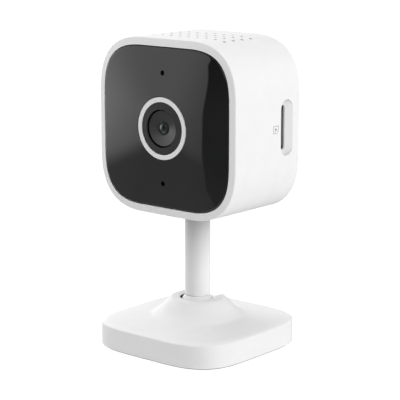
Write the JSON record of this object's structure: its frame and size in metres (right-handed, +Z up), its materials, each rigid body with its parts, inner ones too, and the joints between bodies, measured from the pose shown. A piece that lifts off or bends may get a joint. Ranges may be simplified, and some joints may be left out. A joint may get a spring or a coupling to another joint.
{
  "type": "security camera",
  "caption": "Small indoor security camera: rounded-square white head with a glossy black front window and ringed lens, on a stem with a ball joint in a weighted square base.",
  "frame": {"origin": "centre of the underside of the base, on the axis of the upright stem", "axes": "+Z up along the stem, -Y the way the lens looks, +X towards the side with the card slot"},
  "size_m": [0.0502, 0.0472, 0.0905],
  "materials": {
    "housing_white": "satin white, very fine mould grain",
    "ring_white": "satin white",
    "stem_white": "satin white",
    "ball_white": "smooth white",
    "base_white": "satin white, very fine mould grain",
    "button_white": "satin white",
    "window_black": "high gloss black, dark to the eye and clear to infrared",
    "dark_plastic": "matt black",
    "barrel_black": "satin black",
    "cup_plastic": "smooth self-lubricating black",
    "cover_plastic": "matt dark grey",
    "lens_glass": "coated glass with a green cast",
    "filter_glass": "pale cyan coated glass",
    "clear_pipe": "clear moulded plastic",
    "chip_black": "moulded black resin",
    "card_black": "smooth black",
    "board_green": "green solder mask",
    "board_black": "black solder mask",
    "thermal_pad": "soft blue grey",
    "spreader": "bare stamped",
    "steel": "plated",
    "ballast": "zinc plated",
    "flex_amber": "amber flexible film",
    "antenna_film": "black flexible film",
    "speaker_black": "matt black",
    "seal_rubber": "soft black",
    "foot_rubber": "fine-grained dark grey",
    "lamp_resin": "dark tinted clear resin",
    "lamp_white": "milky"
  },
  "bodies": {
    "base": {"base_shell": "base_white", "ball_cup": "cup_plastic", "cup_spring": "steel", "retainer_screw_1": "steel", "retainer_screw_2": "steel", "retainer_screw_3": "steel", "retainer_plate": "steel", "base_weight": "ballast", "base_cover": "cover_plastic", "rubber_foot": "foot_rubber"},
    "ball": {"ball": "ball_white"},
    "stem_core": {"stem_core": "steel"},
    "head": {"head_shell": "housing_white", "rear_cover": "housing_white", "front_panel": "window_black", "lens_ring": "ring_white", "lens_hood": "dark_plastic", "lens_barrel": "barrel_black", "front_lens": "lens_glass", "rear_lens": "lens_glass", "lens_holder": "dark_plastic", "ir_cut_filter": "filter_glass", "image_sensor": "chip_black", "main_board": "board_green", "processor": "chip_black", "thermal_pad": "thermal_pad", "heat_spreader": "spreader", "wifi_module": "steel", "antenna": "antenna_film", "card_socket": "steel", "power_inlet": "steel", "power_board": "board_green", "power_ribbon": "flex_amber", "reset_switch": "chip_black", "speaker": "speaker_black", "speaker_gasket": "seal_rubber", "lamp_board": "board_black", "ir_lamp_1": "lamp_resin", "ir_lamp_2": "lamp_resin", "ir_lamp_3": "lamp_resin", "ir_lamp_4": "lamp_resin", "lamp_ribbon": "flex_amber", "light_sensor": "chip_black", "status_lamp": "lamp_white", "light_pipe": "clear_pipe", "microphone": "steel", "microphone_boot": "seal_rubber", "inner_frame": "dark_plastic", "board_screw_1": "steel", "board_screw_2": "steel", "board_screw_3": "steel", "stem_tube": "stem_white", "stem_nut": "steel"},
    "reset_button": {"reset_button": "button_white"},
    "memory_card": {"memory_card": "card_black"}
  },
  "joints": [
    {"name": "stem_lean", "type": "hinge", "parent": "base", "child": "ball", "pos_m": [0, 0, 0.0105], "axis": [0, 1, 0], "range_deg": [-12, 12]},
    {"name": "stem_fold", "type": "hinge", "parent": "ball", "child": "stem_core", "pos_m": [0, 0, 0.0105], "axis": [-1, 0, 0], "range_deg": [-12, 80]},
    {"name": "head_swivel", "type": "hinge", "parent": "stem_core", "child": "head", "pos_m": [0, 0, 0.0105], "axis": [0, 0, 1], "continuous": true},
    {"name": "reset_press", "type": "slide", "parent": "head", "child": "reset_button", "axis": [0, -1, 0], "range_m": [0, 0.0005], "stiffness_N_per_m": 600, "springref_m": -0.0008},
    {"name": "card_slide", "type": "slide", "parent": "head", "child": "memory_card", "axis": [1, 0, 0], "range_m": [0, 0.0045]}
  ]
}
